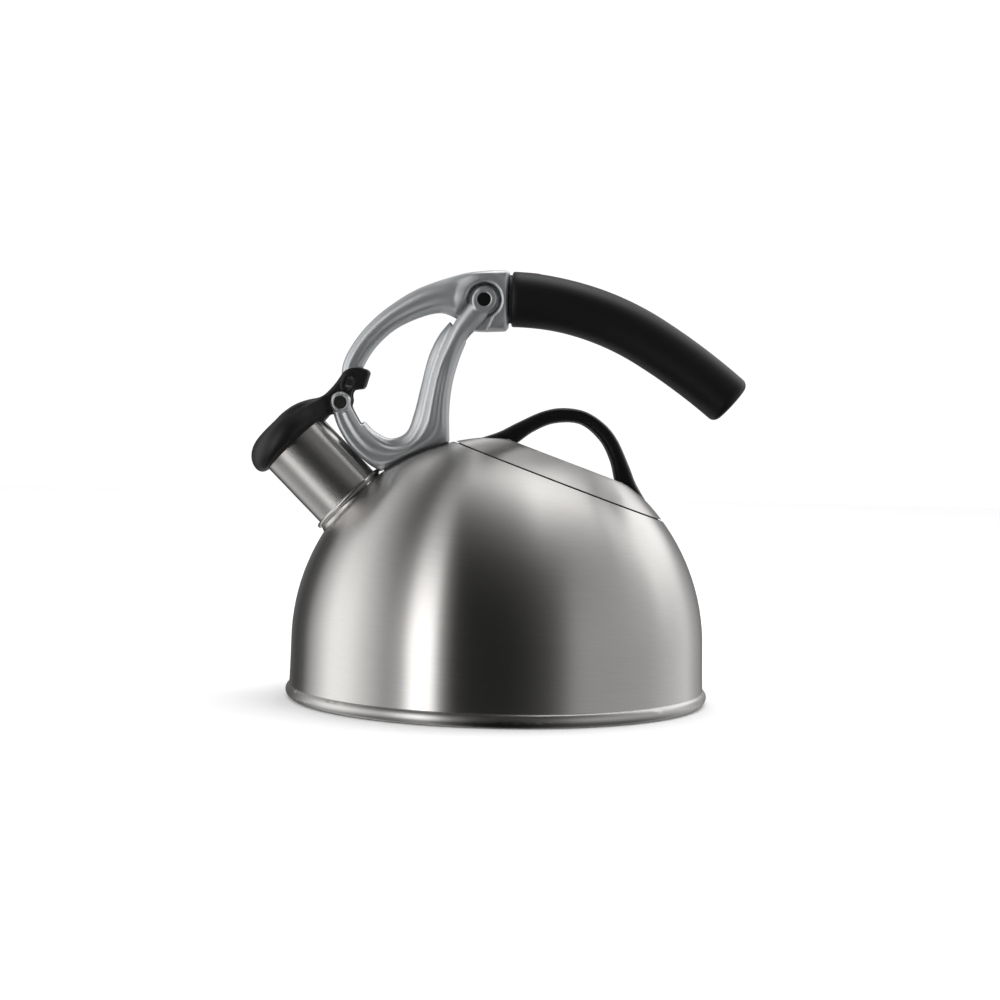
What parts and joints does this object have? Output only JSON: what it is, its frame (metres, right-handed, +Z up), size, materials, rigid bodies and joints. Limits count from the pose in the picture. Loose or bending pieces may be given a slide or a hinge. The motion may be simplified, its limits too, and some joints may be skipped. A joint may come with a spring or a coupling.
{
  "type": "stovetop whistling kettle",
  "caption": "Domed steel kettle with an arched lift handle that opens the whistling spout lid, a tilted lid with a loop handle, and a forked cast bracket.",
  "frame": {"origin": "centre of the flat base, on the table", "axes": "+Z up, +X from the spout to the end of the grip, mirror plane y = 0"},
  "size_m": [0.2352, 0.2, 0.2029],
  "materials": {
    "body_steel": "brushed round its axis",
    "pan_steel": "satin",
    "spout_steel": "brushed round its axis",
    "lid_steel": "brushed round its axis",
    "inner_steel": "plain pressed",
    "disc_aluminium": "plain",
    "cast_metal": "bead-blasted satin",
    "pin_steel": "turned",
    "pin_cap": "satin",
    "cap_plastic": "satin moulded",
    "loop_plastic": "semi-gloss moulded",
    "grip_rubber": "soft matte",
    "ring_plastic": "matte",
    "nylon": "moulded",
    "silicone": "moulded",
    "inlay_plastic": "satin",
    "whistle_steel": "pressed"
  },
  "bodies": {
    "kettle_body": {"body_shell": "body_steel", "base_pan": "pan_steel", "heat_disc": "disc_aluminium", "neck_ring": "inner_steel", "spout_tube": "spout_steel", "spout_collar": "spout_steel", "bracket": "cast_metal", "bracket_gasket": "silicone", "backing_plate": "inner_steel", "bracket_washers": "silicone", "bracket_screws": "pin_steel", "pivot_pin": "pin_steel", "pivot_caps": "pin_cap", "lever_pin": "pin_steel"},
    "handle": {"handle_arm": "cast_metal", "hub_bushes": "nylon", "link_pin": "pin_steel", "grip_core": "nylon", "grip_ring": "ring_plastic", "grip_sleeve": "grip_rubber", "grip_inlay": "inlay_plastic", "roll_pins": "pin_steel"},
    "spout_lid": {"spout_cap": "cap_plastic", "whistle_plate": "whistle_steel", "whistle_cup": "whistle_steel", "spout_seal": "silicone", "cap_screws": "pin_steel"},
    "lid": {"lid_shell": "lid_steel", "lid_ring": "inner_steel", "lid_gasket": "silicone", "lid_handle": "loop_plastic", "lid_screws": "pin_steel", "lid_washers": "silicone"}
  },
  "joints": [
    {"name": "handle_lift", "type": "hinge", "parent": "kettle_body", "child": "handle", "pos_m": [-0.00967, 0, 0.18883], "axis": [0, -1, 0], "range_deg": [0, 6]},
    {"name": "spout_lid_hinge", "type": "hinge", "parent": "kettle_body", "child": "spout_lid", "pos_m": [-0.07627, 0, 0.13893], "axis": [0, 1, 0], "range_deg": [0, 46]},
    {"name": "lid_lift", "type": "slide", "parent": "kettle_body", "child": "lid", "axis": [0.3366, 0, 0.9416], "range_m": [0, 0.025]}
  ],
  "couplings": [
    {"joint": "spout_lid_hinge", "follows": "handle_lift", "ratio": 7.6}
  ]
}
